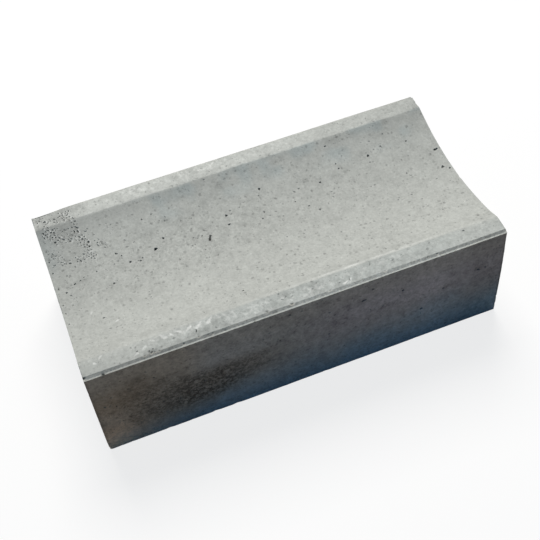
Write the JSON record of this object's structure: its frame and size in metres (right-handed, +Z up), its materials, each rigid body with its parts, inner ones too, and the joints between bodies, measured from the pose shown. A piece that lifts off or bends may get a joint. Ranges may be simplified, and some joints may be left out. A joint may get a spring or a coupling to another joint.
{
  "type": "concrete drainage channel",
  "caption": "Straight concrete gutter block with a shallow dished top between two flat rims, laid end to end to carry surface water.",
  "frame": {"origin": "middle of the bed, the flat face that the block lies on", "axes": "+X along the flow, +Y across it, +Z up out of the dish"},
  "size_m": [0.5, 0.25, 0.15],
  "materials": {
    "concrete": "matte"
  },
  "bodies": {
    "root": {"channel_block": "concrete"}
  },
  "joints": []
}
